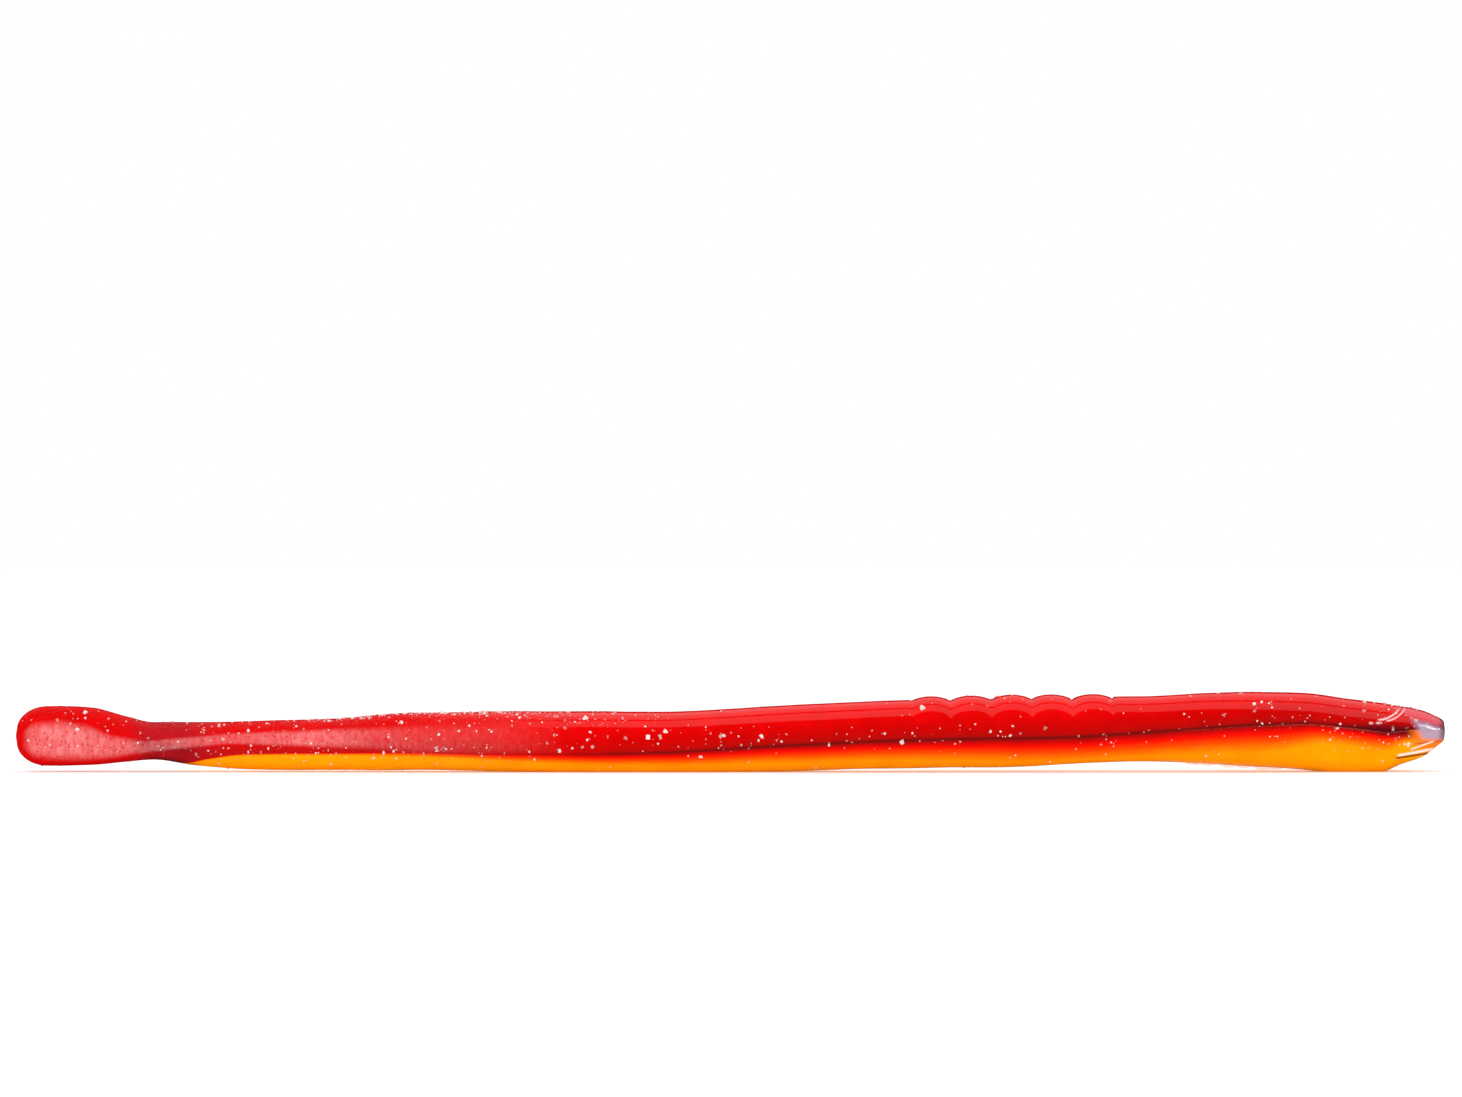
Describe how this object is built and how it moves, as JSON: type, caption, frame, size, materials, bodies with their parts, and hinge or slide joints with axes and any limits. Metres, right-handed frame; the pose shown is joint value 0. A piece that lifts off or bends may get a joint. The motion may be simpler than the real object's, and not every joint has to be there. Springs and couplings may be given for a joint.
{
  "type": "soft plastic worm",
  "caption": "Soft plastic fishing worm in two bonded layers, with a ribbed egg sack, a blunt nose and a small flattened paddle tail; it bends along its whole length.",
  "frame": {"origin": "centre of the bounding box, at the height of the lowest place of the belly", "axes": "+X towards the nose, +Y towards the worm's left side, +Z towards its back"},
  "size_m": [0.171, 0.01, 0.0095],
  "materials": {
    "back_layer": "glossy translucent red plastisol with white salt grains",
    "belly_layer": "glossy translucent orange plastisol with white salt grains"
  },
  "bodies": {
    "head": {"back_head": "back_layer", "belly_head": "belly_layer"},
    "shoulder": {"back_shoulder": "back_layer", "belly_shoulder": "belly_layer"},
    "collar_front": {"back_collar_front": "back_layer", "belly_collar_front": "belly_layer"},
    "collar_rear": {"back_collar_rear": "back_layer", "belly_collar_rear": "belly_layer"},
    "fore_body_a": {"back_fore_body_a": "back_layer", "belly_fore_body_a": "belly_layer"},
    "fore_body_b": {"back_fore_body_b": "back_layer", "belly_fore_body_b": "belly_layer"},
    "mid_body": {"back_mid_body": "back_layer", "belly_mid_body": "belly_layer"},
    "aft_body_a": {"back_aft_body_a": "back_layer", "belly_aft_body_a": "belly_layer"},
    "aft_body_b": {"back_aft_body_b": "back_layer", "belly_aft_body_b": "belly_layer"},
    "aft_body_c": {"back_aft_body_c": "back_layer", "belly_aft_body_c": "belly_layer"},
    "aft_body_d": {"back_aft_body_d": "back_layer", "belly_aft_body_d": "belly_layer"},
    "wrist": {"back_wrist": "back_layer", "belly_wrist": "belly_layer"},
    "paddle": {"back_paddle": "back_layer", "belly_paddle": "belly_layer"}
  },
  "joints": [
    {"name": "bend_fore_body_b", "type": "hinge", "parent": "mid_body", "child": "fore_body_b", "pos_m": [0.0064, -0.00075, 0.00399], "axis": [0, 0, 1], "range_deg": [-30, 30], "stiffness_Nm_per_rad": 0.0013},
    {"name": "bend_fore_body_a", "type": "hinge", "parent": "fore_body_b", "child": "fore_body_a", "pos_m": [0.01958, -0.00061, 0.00447], "axis": [0, 0, 1], "range_deg": [-30, 30], "stiffness_Nm_per_rad": 0.0013},
    {"name": "bend_collar_rear", "type": "hinge", "parent": "fore_body_a", "child": "collar_rear", "pos_m": [0.03276, -0.00031, 0.0047], "axis": [0, 0, 1], "range_deg": [-30, 30], "stiffness_Nm_per_rad": 0.0013},
    {"name": "bend_collar_front", "type": "hinge", "parent": "collar_rear", "child": "collar_front", "pos_m": [0.04594, -0.00038, 0.00505], "axis": [0, 0, 1], "range_deg": [-30, 30], "stiffness_Nm_per_rad": 0.0013},
    {"name": "bend_shoulder", "type": "hinge", "parent": "collar_front", "child": "shoulder", "pos_m": [0.05912, -0.00036, 0.00516], "axis": [0, 0, 1], "range_deg": [-30, 30], "stiffness_Nm_per_rad": 0.0016},
    {"name": "bend_head", "type": "hinge", "parent": "shoulder", "child": "head", "pos_m": [0.0723, 0.00035, 0.00441], "axis": [0, 0, 1], "range_deg": [-30, 30], "stiffness_Nm_per_rad": 0.0022},
    {"name": "bend_aft_body_a", "type": "hinge", "parent": "mid_body", "child": "aft_body_a", "pos_m": [-0.00678, -0.00105, 0.00351], "axis": [0, 0, 1], "range_deg": [-30, 30], "stiffness_Nm_per_rad": 0.0013},
    {"name": "bend_aft_body_b", "type": "hinge", "parent": "aft_body_a", "child": "aft_body_b", "pos_m": [-0.01996, -0.00105, 0.00358], "axis": [0, 0, 1], "range_deg": [-30, 30], "stiffness_Nm_per_rad": 0.0013},
    {"name": "bend_aft_body_c", "type": "hinge", "parent": "aft_body_b", "child": "aft_body_c", "pos_m": [-0.03314, -0.001, 0.00365], "axis": [0, 0, 1], "range_deg": [-30, 30], "stiffness_Nm_per_rad": 0.001},
    {"name": "bend_aft_body_d", "type": "hinge", "parent": "aft_body_c", "child": "aft_body_d", "pos_m": [-0.04632, -0.00059, 0.00333], "axis": [0, 0, 1], "range_deg": [-30, 30], "stiffness_Nm_per_rad": 0.00065},
    {"name": "bend_wrist", "type": "hinge", "parent": "aft_body_d", "child": "wrist", "pos_m": [-0.0595, 0.00003, 0.00315], "axis": [0, 0, 1], "range_deg": [-30, 30], "stiffness_Nm_per_rad": 0.00045},
    {"name": "flap_paddle", "type": "hinge", "parent": "wrist", "child": "paddle", "pos_m": [-0.07268, 0.00004, 0.00391], "axis": [0, 1, 0], "range_deg": [-30, 30], "stiffness_Nm_per_rad": 0.0003}
  ]
}
